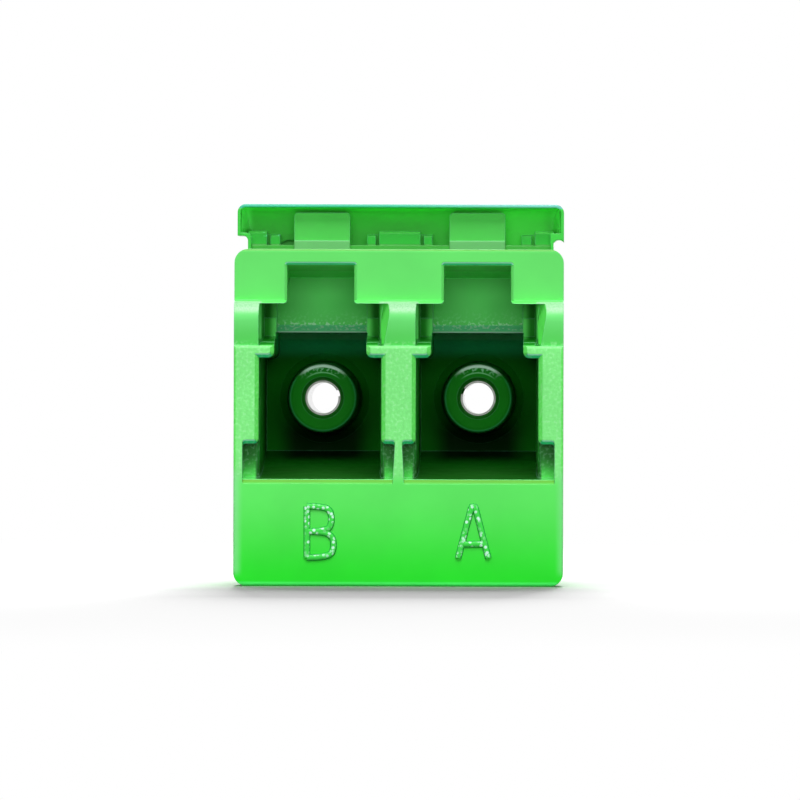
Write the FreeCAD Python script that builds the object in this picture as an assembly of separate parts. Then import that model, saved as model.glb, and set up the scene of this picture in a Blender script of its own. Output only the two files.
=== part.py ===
import FreeCAD, Part
import math
import os

# Duplex LC fibre adapter, a snap-in module. Millimetres, +Z up, stands on its base.
# The lettered front face looks towards -Y. Both mouldings meet at the joint plane, y = 0.
# X = 0 lies midway between the two fibre axes, Z = 0 is the base.

V = FreeCAD.Vector

# ---- Overall layout -------------------------------------------------------------------
PORT_PITCH = 6.25          # between the two fibre axes
AXIS_HEIGHT = 7.5          # fibre axes above the base
HALF_LENGTH = 13.0         # each moulding, from its face to the joint plane
SIDE_WALL = 0.35           # outside the foot of a front port
TOP_WALL = 0.62            # above a latch slot
FACE_CORNER = 0.55         # outline corners of the front head
EDGE_ROUND = 0.12          # small rounds at the front edges
HEAD_DEPTH = 4.8           # full-height head in front of the panel
CORE_STEP = 0.15           # the core stands in from the head's sides
CORE_CORNER = 0.4
FLOOR_WALL = 0.67          # under a port mouth
DECK_RISE = 4.65           # flat deck behind the ports, above the fibre axes
JOINT_BEVEL = 0.12         # edge bevel of both mouldings where they meet

# ---- One port, measured from its fibre axis -----------------------------------------------
MOUTH_DROP = 3.255         # floor at the mouth, below the axis
FLOOR_DROP = 2.15          # floor at the partition, below the axis
LEDGE_UNDER = 1.60         # underside of the two side ledges
LEDGE_THICK = 0.48
LEDGE_GAP = 3.67           # between the ledge tips
LEDGE_ROUND = 0.25
CHANNEL_WIDTH = 4.72       # plug channel
MOUTH_WIDTH = 4.89         # plug channel where it meets the face
MOUTH_BEVEL = 0.16         # round its edge, and on past it into the foot recess
LEAD_IN = 3.0              # length of the tapered lead-in
ROOF_RISE = 2.62           # channel roof between the ledges
EAR_RISE = 3.76            # top of the cross slot for the latch ears
EAR_MOUTH_WIDTH = 4.96
EAR_WIDTH = 4.60
EAR_TAPER = 2.0            # length over which the cross slot narrows
FACET_SLOPE = 0.4          # facet on the post to the right of the cross slot
FACET_LOW = 0.14           # its reach into the post at the ledge
FACET_HIGH = 0.44          # its reach at the top
EAR_DEPTH = 4.4            # end walls of the cross slot
EAR_SILL_RISE = 0.38       # climb of a ledge's top towards its inner end
EAR_SILL_DEPTH = 2.5
EAR_BLOCK_DEPTH = 3.4      # stop blocks at the ends of the cross slot
EAR_BLOCK_RISE = 3.20
CATCH_DEPTH = 2.8          # latch ears spring up behind this much front wall
CATCH_RISE = 4.60          # top of the hollow that the ears spring into
SLOT_WIDTH = 2.67          # latch slot
SLOT_RISE = 5.31
SLOT_BACK_RISE = 4.83      # slot ceiling at its back wall
SLOT_ROUND = 0.15
SLOT_BEVEL = 0.11          # round its edge in the upper face
SLOT_CORNER = 0.03
LATCH_WALL_WIDTH = 3.60
LATCH_WALL_DEPTH = 5.2     # back wall of the latch hollow
LATCH_WALL_BEVEL = 0.30
FOOT_OUT = 3.09            # wide foot of the mouth, towards the head's side
FOOT_IN = 2.985            # and towards the other port
FOOT_FLARE = 0.075         # the foot's inner side leans in by this much at its floor
FOOT_DROP = 1.83           # top of the foot recess, below the axis
FOOT_DEPTH = 0.9
FOOT_CORNER = 0.12         # outer top corner of the recess
FOOT_ROUND = 0.2           # where its top turns up into the channel's side

# ---- Sculpted front of the head -------------------------------------------------------
PILLAR_STEP = 0.2          # the posts step back above the ledges
BEAD_RISE = 3.89           # top of the rounded posts
BEAD_RADIUS = 0.8          # quarter round that leads back to the upper face

# ---- Sleeve holders and split sleeves ----------------------------------------------------
PARTITION = 0.8            # cross wall of each moulding at the joint plane
SLEEVE_LENGTH = 11.4
SLEEVE_INNER = 1.25        # bore of the split sleeve, for a 1.25 mm ferrule
SLEEVE_WALL = 0.185
SLEEVE_SLIT = 0.25
SLEEVE_BEVEL = 0.05
SLIT_ANGLE_A = 155.0       # degrees up from +X, as each sleeve happens to lie
SLIT_ANGLE_B = 17.0
SLEEVE_CLEARANCE = 0.06    # round a sleeve
SLEEVE_END_PLAY = 0.05     # at each end of a sleeve
HOLDER_WALL = 0.5          # holder wall at its nose, round the sleeve chamber
HOLDER_DRAFT = 0.16        # growth of the holder's radius towards its root
HOLDER_NOSE_ROUND = 0.16   # rounded in two steps
HOLDER_ROOT_BEVEL = 0.3
LIP_CLEARANCE = 0.075      # the lip that keeps a sleeve in stands back from its bore by this much
LIP_LENGTH = 0.35
LIP_FLARE = 0.15           # the lip's bore widens towards the nose

# ---- Panel seat, keel and joint pins ---------------------------------------------------
PANEL_SLOT = 1.7           # takes a 1.6 mm panel
PANEL_BITE = 1.6           # height of the slot over the base
KEEL_INSET = 0.95          # the keel stands in from the head's sides
KEEL_CORNER = 0.4
KEEL_RUN = 2.5             # flat keel behind the joint plane
KEEL_SLOPE = 3.5           # sloping tail behind that
CORE_HOLES = 4             # hollows under the keel
KEEL_WALL = 0.7
KEEL_ROOF = 0.9
ROOF_BRIDGE = 1.0          # roof over the latch hollow runs on past its back wall
ROOF_SLOPE = 0.9
ROOF_STEP = 0.4            # below the head's top
PIN_RADIUS = 0.45
PIN_LENGTH = 1.1
PIN_CLEARANCE = 0.05
PIN_HIGH = (1.58, 3.85)    # out from each fibre axis, and up
PIN_LOW = (-0.32, -5.3)

# ---- Snap-in latch lever, moulded on the front housing ----------------------------------------
LEVER_RISE = 1.86          # above the head
LEVER_CORNER = 0.34
LEVER_NECK_INSET = 0.42    # the neck stands in from the hood on each side
LEVER_SKIRT_LEFT = 1.27    # height of the hood's sides
LEVER_SKIRT_RIGHT = 1.51
NECK_ROUND = 0.22
UNDERCUT_RADIUS = 0.235    # round channel between the right skirt and the neck
UNDERCUT_SET = 0.19        # its middle, in from the hood's side
UNDERCUT_DROP = 0.13       # its middle, below the skirt's edge
HOOD_RIM = 0.12            # thickness of the hood at its front rim
HOOD_RIM_ROUND = 0.08
HOOD_LENGTH = 2.9          # rim to the outside of the hood's back
SCOOP_RADIUS = 1.98        # hollow front of the hood
SCOOP_FLAT = 0.1
SCOOP_END_LEAN = 0.4       # the hollow's ends draw in by this much towards its back
SCOOP_END_ROUND = 0.8
PLATE_SET = 0.6            # front edge of the arm under the hood, behind the rim
POCKET_RADIUS = 0.58       # half-round pocket in the hood's back, left of the left tooth
POCKET_PLACE = (-1.35, -0.14)  # its middle, from the left fibre axis and the head's top
POCKET_DEPTH = 0.3
HOOD_BACK_RADIUS = 1.69
ARM_THICK = 0.7
ARM_GAP = 0.8              # flexing room over the deck
ROOT_LENGTH = 0.9          # where the arm joins the deck
TOOTH_WIDTH = 2.24
TOOTH_DROP = 0.34          # below the lever's top
TOOTH_SET = 0.5            # behind the rim
TOOTH_ROUND = 0.16
TOOTH_FOOT = 0.25          # the tooth's thicker foot
TOOTH_FOOT_RISE = 0.39     # above the head
INNER_SHIFT = -0.045       # teeth and middle rib sit a little to the left
RIB_RISE = 0.78            # ribs in the hood, above the head
RIB_STEP = 0.13            # their flanks stand lower by this much
RIB_SET = 0.8              # behind the rim
RIB_MIDDLE = 2.62          # width of the middle rib
RIB_SIDE = 1.28            # width of a side rib
RIB_GROOVE = 0.14
RIB_GROOVE_DEPTH = 0.7
RIB_CORE_MIDDLE = 1.66     # between the middle rib's grooves
RIB_CORE_SIDE = 0.75       # outside a side rib's groove

# ---- Derived sizes ----------------------------------------------------------------------
OVERCUT = 1.0              # how far a cutting tool starts outside
BEVEL_SHARE = 8            # a bevelling tool starts this part of its width outside
PORT_AXES = (-PORT_PITCH / 2, PORT_PITCH / 2)
FACE_WIDTH = PORT_PITCH + 2 * (FOOT_OUT + SIDE_WALL)
FACE_HEIGHT = AXIS_HEIGHT + SLOT_RISE + TOP_WALL
CORE_WIDTH = FACE_WIDTH - 2 * CORE_STEP
KEEL_WIDTH = FACE_WIDTH - 2 * KEEL_INSET
CORE_BOTTOM = AXIS_HEIGHT - MOUTH_DROP - FLOOR_WALL
DECK = AXIS_HEIGHT + DECK_RISE
LEDGE_TOP = AXIS_HEIGHT + LEDGE_UNDER + LEDGE_THICK
CHANNEL_END = HALF_LENGTH - PARTITION
CHAMBER_RADIUS = SLEEVE_INNER / 2 + SLEEVE_WALL + SLEEVE_CLEARANCE
LIP_RADIUS = SLEEVE_INNER / 2 + LIP_CLEARANCE
CHAMBER_REACH = SLEEVE_LENGTH / 2 + SLEEVE_END_PLAY
NOSE_REACH = CHAMBER_REACH + LIP_LENGTH
NOSE_RADIUS = CHAMBER_RADIUS + HOLDER_WALL
PANEL_BACK = HEAD_DEPTH + PANEL_SLOT
LEVER_TOP = FACE_HEIGHT + LEVER_RISE
ARM_BOTTOM = DECK + ARM_GAP
ARM_TOP = ARM_BOTTOM + ARM_THICK


def depth(distance):
    """Y of a plane that lies this far behind the front face."""
    return distance - HALF_LENGTH


VIEWS = {
    "side": (V(0, 1, 0), V(0, 0, 1), V(1, 0, 0)),
    "front": (V(1, 0, 0), V(0, 0, 1), V(0, 1, 0)),
    "plan": (V(1, 0, 0), V(0, 1, 0), V(0, 0, 1)),
}


def outline(view, corners, level):
    """Closed wire drawn in a view, at one level along the line of sight.

    A corner is (across, up) when it is sharp and (across, up, radius) when it is round.
    """
    across, up, out = VIEWS[view]
    points = [out * level + across * c[0] + up * c[1] for c in corners]
    radii = [c[2] if len(c) > 2 else 0.0 for c in corners]
    count = len(points)
    ends = []
    arcs = []
    for i, point in enumerate(points):
        back = (points[i - 1] - point).normalize()
        ahead = (points[(i + 1) % count] - point).normalize()
        half_angle = back.getAngle(ahead) / 2
        reach = radii[i] / math.tan(half_angle)
        start = point + back * reach
        end = point + ahead * reach
        ends.append((start, end))
        if radii[i] > 0:
            inward = (back + ahead).normalize()
            middle = point + inward * (radii[i] / math.sin(half_angle) - radii[i])
            arcs.append(Part.Arc(start, middle, end).toShape())
        else:
            arcs.append(None)
    edges = []
    for i in range(count):
        if arcs[i] is not None:
            edges.append(arcs[i])
        start = ends[i][1]
        end = ends[(i + 1) % count][0]
        if start.distanceToPoint(end) > 1e-6:
            edges.append(Part.makeLine(start, end))
    return Part.Wire(edges)


def prism(view, corners, low, high):
    """Solid of one outline, drawn in a view and pushed through from low to high."""
    return Part.Face(outline(view, corners, low)).extrude(VIEWS[view][2] * (high - low))


def bevelled(corners, face, bevel):
    """Tool for a bevel at 45 degrees round a hollow's edge in a face.

    The corners are a function of the outline's growth, which is none at the bevel's inner end.
    """
    over = bevel / BEVEL_SHARE
    wires = [outline("front", corners(bevel + over), face - over), outline("front", corners(0), face + bevel)]
    return Part.makeLoft(wires, True, True)


def two_sided(right, left):
    """Closed outline from the reach of its right and left sides, each listed from bottom to top."""
    return right + [(-c[0],) + tuple(c[1:]) for c in reversed(left)]


def mirrored(right_half):
    """Closed outline from its right half, listed from bottom to top."""
    return two_sided(right_half, right_half)


def common(*solids):
    """What all the solids share."""
    shared = solids[0]
    for solid in solids[1:]:
        shared = shared.common(solid)
    return shared


def shifted(solid, x):
    """Copy of a solid moved sideways."""
    moved = solid.copy()
    moved.translate(V(x, 0, 0))
    return moved


def revolved(outline, x):
    """Ring round a fibre axis from its half section, listed as (y, radius)."""
    points = [V(x, y, AXIS_HEIGHT + radius) for y, radius in outline]
    face = Part.Face(Part.makePolygon(points + points[:1]))
    return face.revolve(V(x, 0, AXIS_HEIGHT), V(0, 1, 0), 360)


# ---- One port hollow, centred on X = 0 ---------------------------------------------------

def plug_channel(foot):
    """Channel for the plug's body: ramped floor, tapered mouth, two side ledges and a foot recess."""
    floor = AXIS_HEIGHT - FLOOR_DROP
    mouth = AXIS_HEIGHT - MOUTH_DROP
    under = AXIS_HEIGHT + LEDGE_UNDER
    roof = AXIS_HEIGHT + ROOF_RISE
    section = mirrored([
        (CHANNEL_WIDTH / 2, mouth),
        (CHANNEL_WIDTH / 2, under),
        (LEDGE_GAP / 2, under, LEDGE_ROUND),
        (LEDGE_GAP / 2, roof),
    ])
    start = depth(-OVERCUT)
    end = depth(CHANNEL_END)
    run = prism("front", section, start, end)
    ramp = prism("side", [
        (start, mouth), (depth(0), mouth), (end, floor), (end, roof + OVERCUT), (start, roof + OVERCUT),
    ], -FACE_WIDTH, FACE_WIDTH)
    lead_in = prism("plan", [
        (-MOUTH_WIDTH / 2, start), (MOUTH_WIDTH / 2, start), (MOUTH_WIDTH / 2, depth(0)),
        (CHANNEL_WIDTH / 2, depth(LEAD_IN)), (-CHANNEL_WIDTH / 2, depth(LEAD_IN)),
        (-MOUTH_WIDTH / 2, depth(0)),
    ], mouth, under)
    return run.fuse([lead_in] + foot).common(ramp)


def foot_corners(outer, grow=0.0):
    """Outer or inner side of the foot recess and its bevelled edge, up to the channel's side."""
    reach, flare = (FOOT_OUT, 0.0) if outer else (FOOT_IN, FOOT_FLARE)
    lean = flare / (MOUTH_DROP - FOOT_DROP)
    top = AXIS_HEIGHT - FOOT_DROP + grow
    return [
        (reach - flare - lean * grow, AXIS_HEIGHT - MOUTH_DROP - grow),
        (reach + lean * grow, top, FOOT_CORNER),
        (MOUTH_WIDTH / 2 + grow, top, FOOT_ROUND - grow),
    ]


def foot_recess(outward):
    """Shallow recess that widens the mouth along its floor, bevelled where it meets the channel."""
    start = depth(-OVERCUT)
    back = depth(FOOT_DEPTH)
    end = depth(FOOT_DEPTH + MOUTH_BEVEL)
    inside = [(MOUTH_WIDTH / 2, AXIS_HEIGHT)]
    run = prism("front", two_sided(
        foot_corners(outward > 0) + inside, foot_corners(outward < 0) + inside,
    ), start, end)
    corner = CHANNEL_WIDTH / 2 + MOUTH_BEVEL
    plan = prism("plan", [
        (-FOOT_OUT, start), (FOOT_OUT, start), (FOOT_OUT, back), (corner, back),
        (CHANNEL_WIDTH / 2, end), (-CHANNEL_WIDTH / 2, end), (-corner, back), (-FOOT_OUT, back),
    ], 0, AXIS_HEIGHT)
    return run.common(plan)


def mouth_bevel(outward, with_foot):
    """Bevel round the edge of one port's mouth, up to the ledges' tops."""
    def corners(grow):
        side = MOUTH_WIDTH / 2 + grow
        tip = LEDGE_GAP / 2 + grow
        under = AXIS_HEIGHT + LEDGE_UNDER + grow
        ledge = [(side, under), (tip, under, LEDGE_ROUND - grow), (tip, LEDGE_TOP)]
        if not with_foot:
            return mirrored([(side, AXIS_HEIGHT - MOUTH_DROP - grow)] + ledge)
        return two_sided(foot_corners(outward > 0, grow) + ledge, foot_corners(outward < 0, grow) + ledge)
    return bevelled(corners, depth(0), MOUTH_BEVEL)


def ear_slot():
    """Cross slot for the latch ears, its sills climbing to a stop block at each end."""
    top = AXIS_HEIGHT + EAR_RISE
    sill = LEDGE_TOP + EAR_SILL_RISE
    block = AXIS_HEIGHT + EAR_BLOCK_RISE
    start = depth(-OVERCUT)
    side = prism("side", [
        (start, LEDGE_TOP), (depth(PILLAR_STEP), LEDGE_TOP), (depth(EAR_SILL_DEPTH), sill),
        (depth(EAR_BLOCK_DEPTH), sill), (depth(EAR_BLOCK_DEPTH), block),
        (depth(EAR_DEPTH), block), (depth(EAR_DEPTH), top), (start, top),
    ], -FACE_WIDTH, FACE_WIDTH)
    plan = prism("plan", [
        (-EAR_MOUTH_WIDTH / 2, start), (EAR_MOUTH_WIDTH / 2, start),
        (EAR_MOUTH_WIDTH / 2, depth(0)), (EAR_WIDTH / 2, depth(EAR_TAPER)),
        (EAR_WIDTH / 2, depth(EAR_DEPTH)), (-EAR_WIDTH / 2, depth(EAR_DEPTH)),
        (-EAR_WIDTH / 2, depth(EAR_TAPER)), (-EAR_MOUTH_WIDTH / 2, depth(0)),
    ], LEDGE_TOP, top)
    catch = prism("side", [
        (depth(CATCH_DEPTH), LEDGE_TOP + LEDGE_THICK), (depth(EAR_DEPTH), LEDGE_TOP + LEDGE_THICK),
        (depth(EAR_DEPTH), AXIS_HEIGHT + CATCH_RISE), (depth(CATCH_DEPTH), AXIS_HEIGHT + CATCH_RISE),
    ], -EAR_WIDTH / 2, EAR_WIDTH / 2)
    above_blocks = prism("front", mirrored([(FACE_WIDTH, block), (FACE_WIDTH, FACE_HEIGHT)]),
                         start, depth(EAR_DEPTH))
    return side.common(plan).fuse(catch.common(above_blocks))


def latch_slot():
    """Slot for the latch arm and the hollow behind it, which ends at a bevelled wall."""
    roof = AXIS_HEIGHT + ROOF_RISE
    start = depth(-OVERCUT)
    back = depth(LATCH_WALL_DEPTH)
    foot = depth(LATCH_WALL_DEPTH + LATCH_WALL_BEVEL)
    side = prism("side", [
        (start, LEDGE_TOP), (foot, LEDGE_TOP), (foot, roof), (back, roof + LATCH_WALL_BEVEL),
        (back, AXIS_HEIGHT + SLOT_BACK_RISE), (depth(PILLAR_STEP + BEAD_RADIUS), AXIS_HEIGHT + SLOT_RISE),
        (start, AXIS_HEIGHT + SLOT_RISE),
    ], -FACE_WIDTH, FACE_WIDTH)
    ear_top = AXIS_HEIGHT + EAR_RISE
    mouth = prism("front", mirrored([
        (LATCH_WALL_WIDTH / 2, LEDGE_TOP), (LATCH_WALL_WIDTH / 2, ear_top),
        (SLOT_WIDTH / 2, ear_top, SLOT_ROUND), (SLOT_WIDTH / 2, FACE_HEIGHT),
    ]), start, foot)
    hollow = prism("front", mirrored([
        (LATCH_WALL_WIDTH / 2, LEDGE_TOP), (LATCH_WALL_WIDTH / 2, AXIS_HEIGHT + CATCH_RISE),
    ]), depth(CATCH_DEPTH), foot)
    return mouth.fuse(hollow).common(side)


def post_facet():
    """Facet on the post to the right of a port, which widens up the cross slot."""
    levels = ((LEDGE_TOP, FACET_LOW), (AXIS_HEIGHT + EAR_RISE, FACET_HIGH))
    inner = EAR_WIDTH / 2
    wires = []
    for level, reach in levels:
        side = EAR_MOUTH_WIDTH / 2 + reach
        wires.append(outline("plan", [
            (inner, depth(0)), (side, depth(0)), (inner, depth((side - inner) / FACET_SLOPE)),
        ], level))
    return Part.makeLoft(wires, True, True)


def slot_bevel():
    """Bevel round the latch slot's edge in the upper face, and on along the cross slot's top."""
    def corners(grow):
        side = EAR_MOUTH_WIDTH / 2
        ear_top = AXIS_HEIGHT + EAR_RISE + grow
        slot = SLOT_WIDTH / 2 + grow
        return mirrored([
            (side, LEDGE_TOP), (side, ear_top), (slot, ear_top, SLOT_ROUND - grow),
            (slot, AXIS_HEIGHT + SLOT_RISE + grow, SLOT_CORNER + grow),
        ])
    return bevelled(corners, depth(PILLAR_STEP + BEAD_RADIUS), SLOT_BEVEL)


def port_hollow(outward, with_foot):
    """Everything that is open in one port, whose outer side is 1 for the right and -1 for the left."""
    foot = [foot_recess(outward)] if with_foot else []
    hollow = plug_channel(foot).fuse([ear_slot(), latch_slot(), mouth_bevel(outward, with_foot)])
    if with_foot:
        hollow = hollow.fuse([post_facet(), slot_bevel()])
    return hollow


def port_hollows(with_foot):
    """Both ports in their places."""
    return [shifted(port_hollow(math.copysign(1, x), with_foot), x) for x in PORT_AXES]


# ---- Sleeve holders, built for the front half ------------------------------------------------

def sleeve_holder(x):
    """Tapered tube on the partition, with a rounded nose and a bevelled root."""
    nose = -NOSE_REACH
    root = depth(CHANNEL_END)
    root_radius = NOSE_RADIUS + HOLDER_DRAFT
    slack = HOLDER_NOSE_ROUND * (1 - math.sqrt(0.5))
    tube = revolved([
        (nose, 0), (nose, NOSE_RADIUS - HOLDER_NOSE_ROUND), (nose + slack, NOSE_RADIUS - slack),
        (nose + HOLDER_NOSE_ROUND, NOSE_RADIUS), (root, root_radius),
        (root + PARTITION / 2, root_radius), (root + PARTITION / 2, 0),
    ], x)
    collar = revolved([
        (root - HOLDER_ROOT_BEVEL, 0), (root - HOLDER_ROOT_BEVEL, NOSE_RADIUS + HOLDER_DRAFT / 2),
        (root, root_radius + HOLDER_ROOT_BEVEL), (root + PARTITION / 2, root_radius + HOLDER_ROOT_BEVEL),
        (root + PARTITION / 2, 0),
    ], x)
    return tube.fuse(collar)


def holder_bore(x):
    """Sleeve chamber, open at the joint plane, and the lip that keeps the sleeve in."""
    mouth = LIP_RADIUS + LIP_FLARE
    return revolved([
        (OVERCUT, 0), (OVERCUT, CHAMBER_RADIUS), (-CHAMBER_REACH, CHAMBER_RADIUS),
        (-CHAMBER_REACH, LIP_RADIUS), (-NOSE_REACH, mouth), (-NOSE_REACH - OVERCUT, mouth),
        (-NOSE_REACH - OVERCUT, 0),
    ], x)


def split_sleeve(x, slit_angle):
    """Ceramic sleeve with one slit along its whole length."""
    inner = SLEEVE_INNER / 2
    outer = inner + SLEEVE_WALL
    end = SLEEVE_LENGTH / 2
    bevel = SLEEVE_BEVEL
    ring = revolved([
        (-end, inner + bevel), (-end, outer - bevel), (-end + bevel, outer), (end - bevel, outer),
        (end, outer - bevel), (end, inner + bevel), (end - bevel, inner), (-end + bevel, inner),
    ], x)
    slit = Part.makeBox(outer + OVERCUT, SLEEVE_LENGTH + 2 * OVERCUT, SLEEVE_SLIT,
                        V(x, -end - OVERCUT, AXIS_HEIGHT - SLEEVE_SLIT / 2))
    slit.rotate(V(x, 0, AXIS_HEIGHT), V(0, 1, 0), -slit_angle)
    return ring.cut(slit)


# ---- Body blocks, built for the front half ---------------------------------------------------

def head():
    """Full-height front: lettered band, posts with a rounded shoulder, set-back upper face."""
    outline = mirrored([(FACE_WIDTH / 2, 0, FACE_CORNER), (FACE_WIDTH / 2, FACE_HEIGHT, FACE_CORNER)])
    front = prism("front", outline, depth(0), depth(HEAD_DEPTH))
    shoulder = AXIS_HEIGHT + BEAD_RISE
    upper = depth(PILLAR_STEP + BEAD_RADIUS)
    side = prism("side", [
        (depth(0), 0, EDGE_ROUND), (depth(HEAD_DEPTH), 0, EDGE_ROUND),
        (depth(HEAD_DEPTH), FACE_HEIGHT), (upper, FACE_HEIGHT, EDGE_ROUND), (upper, shoulder),
        (depth(PILLAR_STEP), shoulder, BEAD_RADIUS), (depth(PILLAR_STEP), LEDGE_TOP),
        (depth(0), LEDGE_TOP, EDGE_ROUND),
    ], -FACE_WIDTH, FACE_WIDTH)
    plan = prism("plan", [
        (-FACE_WIDTH / 2, depth(0), EDGE_ROUND), (FACE_WIDTH / 2, depth(0), EDGE_ROUND),
        (FACE_WIDTH / 2, depth(HEAD_DEPTH)), (-FACE_WIDTH / 2, depth(HEAD_DEPTH)),
    ], 0, FACE_HEIGHT)
    return common(front, side, plan)


def core(front_top, bridge_end, start):
    """Block behind a face, as high as its latch hollows and then down to the deck."""
    top = max(front_top, DECK)
    outline = mirrored([
        (CORE_WIDTH / 2, CORE_BOTTOM, CORE_CORNER), (CORE_WIDTH / 2, top, CORE_CORNER),
    ])
    block = prism("front", outline, depth(start), 0)
    side = prism("side", [
        (depth(start), CORE_BOTTOM), (-JOINT_BEVEL, CORE_BOTTOM), (0, CORE_BOTTOM + JOINT_BEVEL),
        (0, DECK - JOINT_BEVEL), (-JOINT_BEVEL, DECK), (depth(bridge_end + ROOF_SLOPE), DECK),
        (depth(bridge_end), front_top), (depth(start), front_top),
    ], -FACE_WIDTH, FACE_WIDTH)
    plan = prism("plan", mirrored([
        (CORE_WIDTH / 2, depth(start)), (CORE_WIDTH / 2, -JOINT_BEVEL),
        (CORE_WIDTH / 2 - JOINT_BEVEL, 0),
    ]), 0, FACE_HEIGHT)
    return common(block, side, plan)


def keel(side_corners):
    """Block under the core, which the module stands on."""
    side = prism("side", side_corners, -FACE_WIDTH, FACE_WIDTH)
    outline = mirrored([(KEEL_WIDTH / 2, 0, KEEL_CORNER), (KEEL_WIDTH / 2, AXIS_HEIGHT)])
    return side.common(prism("front", outline, -HALF_LENGTH, HALF_LENGTH))


def keel_hollows(start, end):
    """Row of hollows that keep the keel's walls even, open below."""
    width = (KEEL_WIDTH - (CORE_HOLES + 1) * KEEL_WALL) / CORE_HOLES
    top = CORE_BOTTOM - KEEL_ROOF + FLOOR_WALL
    holes = []
    for i in range(CORE_HOLES):
        left = -KEEL_WIDTH / 2 + KEEL_WALL + i * (width + KEEL_WALL)
        holes.append(prism("front", [
            (left, -OVERCUT), (left + width, -OVERCUT), (left + width, top, CORE_CORNER),
            (left, top, CORE_CORNER),
        ], start, end))
    return holes


def joint_pins(radius, length):
    """Four locating pins, or the holes for them, that start at the joint plane."""
    pins = []
    for side in (-1, 1):
        for out, up in (PIN_HIGH, PIN_LOW):
            place = V(side * (PORT_PITCH / 2 + out), -PARTITION / 2, AXIS_HEIGHT + up)
            pins.append(Part.makeCylinder(radius, length + PARTITION / 2, place, V(0, 1, 0)))
    return pins


# ---- Latch lever --------------------------------------------------------------------------

def lever_outline(wall, low):
    """Front outline of the hood on its neck, or of the hollow a wall's thickness inside it."""
    half = FACE_WIDTH / 2 - wall
    neck = half - LEVER_NECK_INSET
    top = LEVER_TOP - wall
    corner = LEVER_CORNER - wall
    left = LEVER_TOP - LEVER_SKIRT_LEFT + wall
    right = left if wall else LEVER_TOP - LEVER_SKIRT_RIGHT
    return [
        (neck, low), (neck, right), (half, right), (half, top, corner),
        (-half, top, corner), (-half, left), (-neck, left, NECK_ROUND), (-neck, low),
    ]


def lever_shell():
    """Arm on its root, curving up into the hood, as one profile."""
    rim = depth(PANEL_BACK)
    back = rim + HOOD_LENGTH
    side = prism("side", [
        (rim, ARM_BOTTOM), (-ROOT_LENGTH, ARM_BOTTOM), (-ROOT_LENGTH, DECK - CORE_CORNER),
        (-JOINT_BEVEL, DECK - CORE_CORNER), (-JOINT_BEVEL, ARM_TOP, EDGE_ROUND), (back, ARM_TOP, EDGE_ROUND),
        (back, LEVER_TOP, HOOD_BACK_RADIUS), (rim, LEVER_TOP, HOOD_RIM_ROUND),
    ], -FACE_WIDTH, FACE_WIDTH)
    shell = side.common(prism("front", lever_outline(0, DECK - OVERCUT), rim, 0))
    middle = V(FACE_WIDTH / 2 - UNDERCUT_SET, rim - OVERCUT, LEVER_TOP - LEVER_SKIRT_RIGHT - UNDERCUT_DROP)
    return shell.cut(Part.makeCylinder(UNDERCUT_RADIUS, HOOD_LENGTH + 2 * OVERCUT, middle, V(0, 1, 0)))


def lever_scoop():
    """Hollow front of the hood."""
    rim = depth(PANEL_BACK)
    wall = rim + SCOOP_FLAT + SCOOP_RADIUS
    ceiling = LEVER_TOP - HOOD_RIM
    half = FACE_WIDTH / 2 - HOOD_RIM
    side = prism("side", [
        (rim - OVERCUT, ARM_BOTTOM - OVERCUT), (wall, ARM_BOTTOM - OVERCUT), (wall, ceiling, SCOOP_RADIUS),
        (rim - OVERCUT, ceiling),
    ], -half, half)
    end = half - SCOOP_END_LEAN
    plan = prism("plan", [
        (-half, rim - OVERCUT), (half, rim - OVERCUT), (half, rim), (end, wall, SCOOP_END_ROUND),
        (-end, wall, SCOOP_END_ROUND), (-half, rim),
    ], 0, LEVER_TOP)
    return common(side, plan, prism("front", lever_outline(HOOD_RIM, 0), rim - OVERCUT, wall))


def lever_teeth():
    """Two flat-faced teeth in the hood, one over each port, each on a thicker foot."""
    rim = depth(PANEL_BACK)
    wall = rim + SCOOP_FLAT + SCOOP_RADIUS + ARM_THICK / 2
    half = TOOTH_WIDTH / 2
    teeth = []
    for x in PORT_AXES:
        face = prism("front", mirrored([
            (half, ARM_BOTTOM), (half, LEVER_TOP - TOOTH_DROP, TOOTH_ROUND),
        ]), rim + TOOTH_SET, wall)
        foot = prism("front", mirrored([
            (half, ARM_BOTTOM), (half, FACE_HEIGHT + TOOTH_FOOT_RISE),
        ]), rim + TOOTH_SET - TOOTH_FOOT, wall)
        teeth.append(shifted(face.fuse(foot), x + INNER_SHIFT))
    return teeth


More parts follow.
